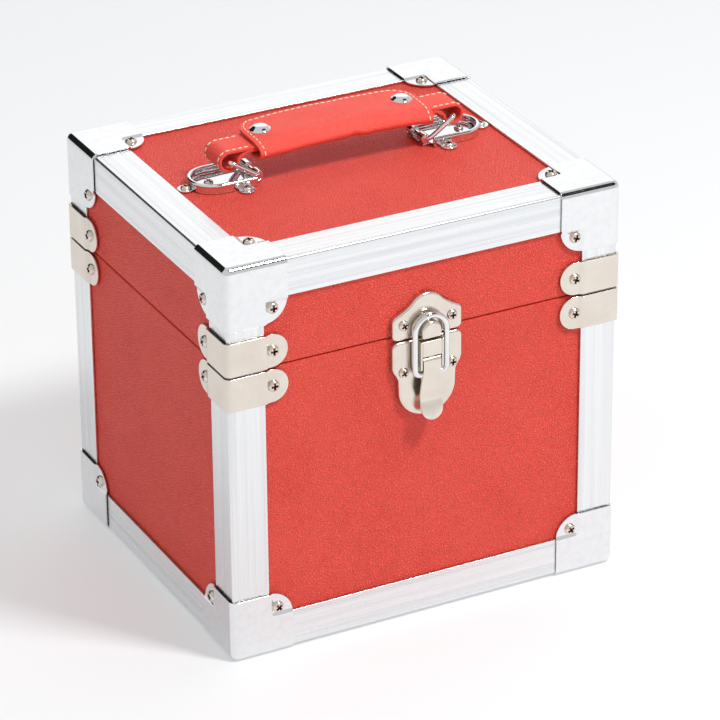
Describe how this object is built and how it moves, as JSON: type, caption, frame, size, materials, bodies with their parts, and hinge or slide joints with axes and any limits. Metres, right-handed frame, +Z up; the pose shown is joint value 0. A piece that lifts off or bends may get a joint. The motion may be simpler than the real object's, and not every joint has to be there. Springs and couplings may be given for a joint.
{
  "type": "record carry case",
  "caption": "Box carry case for small records with a rear-hinged lid, metal edge trims and corners, a front draw latch and a leather top handle.",
  "frame": {"origin": "centre of the bounding box's footprint, on the surface the case stands on", "axes": "+Z up, the latch and front face -Y, +X to the right seen from the front"},
  "size_m": [0.22, 0.1982, 0.2392],
  "materials": {
    "leatherette": "pebbled red covering cloth over board",
    "handle_leather": "grained red leather",
    "brushed_aluminium": "brushed along its length",
    "chrome": "polished",
    "nickel": "warm nickel plate, satin",
    "lining": "short black pile",
    "thread": "cream sewing thread"
  },
  "bodies": {
    "base": {"base_back_board": "leatherette", "base_back_left_brace": "nickel", "base_back_left_corner": "chrome", "base_back_left_trim": "brushed_aluminium", "base_back_right_brace": "nickel", "base_back_right_corner": "chrome", "base_back_right_trim": "brushed_aluminium", "base_bottom_back_trim": "brushed_aluminium", "base_bottom_board": "leatherette", "base_bottom_front_trim": "brushed_aluminium", "base_bottom_left_trim": "brushed_aluminium", "base_bottom_right_trim": "brushed_aluminium", "base_front_board": "leatherette", "base_front_left_brace": "nickel", "base_front_left_corner": "chrome", "base_front_left_trim": "brushed_aluminium", "base_front_right_brace": "nickel", "base_front_right_corner": "chrome", "base_front_right_trim": "brushed_aluminium", "base_left_board": "leatherette", "base_right_board": "leatherette", "hinge_left_base_leaf": "nickel", "hinge_right_base_leaf": "nickel", "latch_base_plate": "nickel", "latch_pin": "nickel"},
    "lid": {"handle_left_cup": "chrome", "handle_right_cup": "chrome", "hinge_left_lid_leaf": "nickel", "hinge_right_lid_leaf": "nickel", "latch_strike_plate": "nickel", "lid_back_board": "leatherette", "lid_back_left_brace": "nickel", "lid_back_left_corner": "chrome", "lid_back_left_trim": "brushed_aluminium", "lid_back_right_brace": "nickel", "lid_back_right_corner": "chrome", "lid_back_right_trim": "brushed_aluminium", "lid_front_board": "leatherette", "lid_front_left_brace": "nickel", "lid_front_left_corner": "chrome", "lid_front_left_trim": "brushed_aluminium", "lid_front_right_brace": "nickel", "lid_front_right_corner": "chrome", "lid_front_right_trim": "brushed_aluminium", "lid_left_board": "leatherette", "lid_right_board": "leatherette", "lid_top_back_trim": "brushed_aluminium", "lid_top_board": "leatherette", "lid_top_front_trim": "brushed_aluminium", "lid_top_left_trim": "brushed_aluminium", "lid_top_right_trim": "brushed_aluminium"},
    "latch_lever": {"latch_lever": "nickel"},
    "latch_bail": {"latch_bail": "chrome"},
    "handle_grip": {"handle_grip": "handle_leather", "handle_left_snap": "chrome", "handle_right_snap": "chrome"},
    "handle_left_strap": {"handle_left_strap": "handle_leather"},
    "handle_right_strap": {"handle_right_strap": "handle_leather"},
    "handle_left_ring": {"handle_left_ring": "chrome"},
    "handle_right_ring": {"handle_right_ring": "chrome"}
  },
  "joints": [
    {"name": "lid_hinge", "type": "hinge", "parent": "base", "child": "lid", "pos_m": [0, 0.0968, 0.1593], "axis": [-1, 0, 0], "range_deg": [0, 100]},
    {"name": "latch_lever_pivot", "type": "hinge", "parent": "base", "child": "latch_lever", "pos_m": [0, -0.0957, 0.1458], "axis": [-1, 0, 0], "range_deg": [0, 95]},
    {"name": "latch_bail_pivot", "type": "hinge", "parent": "latch_lever", "child": "latch_bail", "pos_m": [0, -0.0961, 0.1388], "axis": [-1, 0, 0], "range_deg": [-124, 0]},
    {"name": "handle_lift", "type": "slide", "parent": "lid", "child": "handle_grip", "axis": [0, 0, 1], "range_m": [0, 0.0062]},
    {"name": "handle_left_ring_pivot", "type": "hinge", "parent": "lid", "child": "handle_left_ring", "pos_m": [-0.0473, 0.0058, 0.2187], "axis": [0, 1, 0], "range_deg": [0, 28.5]},
    {"name": "handle_right_ring_pivot", "type": "hinge", "parent": "lid", "child": "handle_right_ring", "pos_m": [0.0473, 0.0058, 0.2187], "axis": [0, -1, 0], "range_deg": [0, 28.5]},
    {"name": "handle_left_strap_slide", "type": "slide", "parent": "handle_grip", "child": "handle_left_strap", "axis": [1, 0, 0], "range_m": [0, 0.007]},
    {"name": "handle_right_strap_slide", "type": "slide", "parent": "handle_grip", "child": "handle_right_strap", "axis": [-1, 0, 0], "range_m": [0, 0.007]}
  ],
  "couplings": [
    {"joint": "latch_bail_pivot", "follows": "latch_lever_pivot", "ratio": -1.3},
    {"joint": "handle_left_ring_pivot", "follows": "handle_lift", "rad_per_m": 78.3},
    {"joint": "handle_right_ring_pivot", "follows": "handle_lift", "rad_per_m": 78.3},
    {"joint": "handle_left_strap_slide", "follows": "handle_lift", "ratio": 1.1},
    {"joint": "handle_right_strap_slide", "follows": "handle_lift", "ratio": 1.1}
  ]
}
